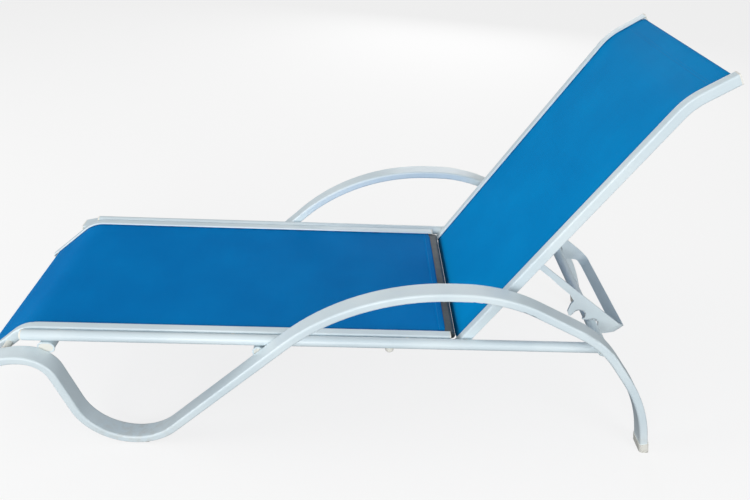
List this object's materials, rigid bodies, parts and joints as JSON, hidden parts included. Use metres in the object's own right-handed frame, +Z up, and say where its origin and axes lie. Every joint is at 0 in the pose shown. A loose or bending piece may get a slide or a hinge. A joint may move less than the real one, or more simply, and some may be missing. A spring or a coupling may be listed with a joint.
{
  "type": "sun lounger",
  "caption": "Sling sun lounger: bent flat-tube arms, legs and skids, stretched woven seat and back, and a reclining back propped by a notched rack on a cross tube.",
  "frame": {"origin": "on the floor, at the middle of the overall box of the lounger with its back raised", "axes": "+X to the head end, +Y to the right of a person lying on it, +Z up"},
  "size_m": [1.65, 0.6462, 0.9391],
  "materials": {
    "white_coat": "satin",
    "dark_coat": "satin",
    "steel": "satin",
    "nylon": "satin",
    "white_plastic": "satin",
    "cord_plastic": "satin",
    "sling_fabric": "matte"
  },
  "bodies": {
    "frame": {"cross_member_plugs": "white_plastic", "front_bolts": "steel", "front_cross_tube": "white_coat", "front_spacers": "nylon", "hinge_bolts": "steel", "hinge_washers": "nylon", "lower_rail_caps": "white_plastic", "lower_rail_left": "white_coat", "lower_rail_right": "white_coat", "mid_cross_tube": "white_coat", "rear_cross_tube": "white_coat", "rear_foot_caps": "white_plastic", "seat_front_spreader": "white_coat", "seat_hem_cords": "cord_plastic", "seat_rail_front_caps": "white_plastic", "seat_rail_left": "white_coat", "seat_rail_rear_caps": "white_plastic", "seat_rail_right": "white_coat", "seat_rail_screws": "steel", "seat_rail_spacers": "nylon", "seat_rear_spreader": "dark_coat", "seat_sling": "sling_fabric", "side_strip_left": "white_coat", "side_strip_right": "white_coat", "skid_glides": "white_plastic", "stacking_bumpers": "white_plastic", "strip_front_caps": "white_plastic", "threaded_inserts": "steel"},
    "back": {"back_rail_left": "white_coat", "back_rail_right": "white_coat", "back_sling": "sling_fabric", "back_hem_cords": "cord_plastic", "back_lower_spreader": "white_coat", "back_top_spreader": "white_coat", "back_rail_lower_caps": "white_plastic", "back_rail_head_caps": "white_plastic", "hinge_bushes": "nylon", "rack_rod": "steel", "rack_collars": "nylon"},
    "rack": {"rack": "white_coat"}
  },
  "joints": [
    {"name": "back_recline", "type": "hinge", "parent": "frame", "child": "back", "pos_m": [0.337, 0, 0.288], "axis": [0, 1, 0], "range_deg": [0, 54.3]},
    {"name": "rack_swing", "type": "hinge", "parent": "back", "child": "rack", "pos_m": [0.46109, 0, 0.48111], "axis": [0, 1, 0], "range_deg": [-96, 0]}
  ],
  "couplings": [
    {"joint": "rack_swing", "follows": "back_recline", "ratio": -1.764}
  ]
}
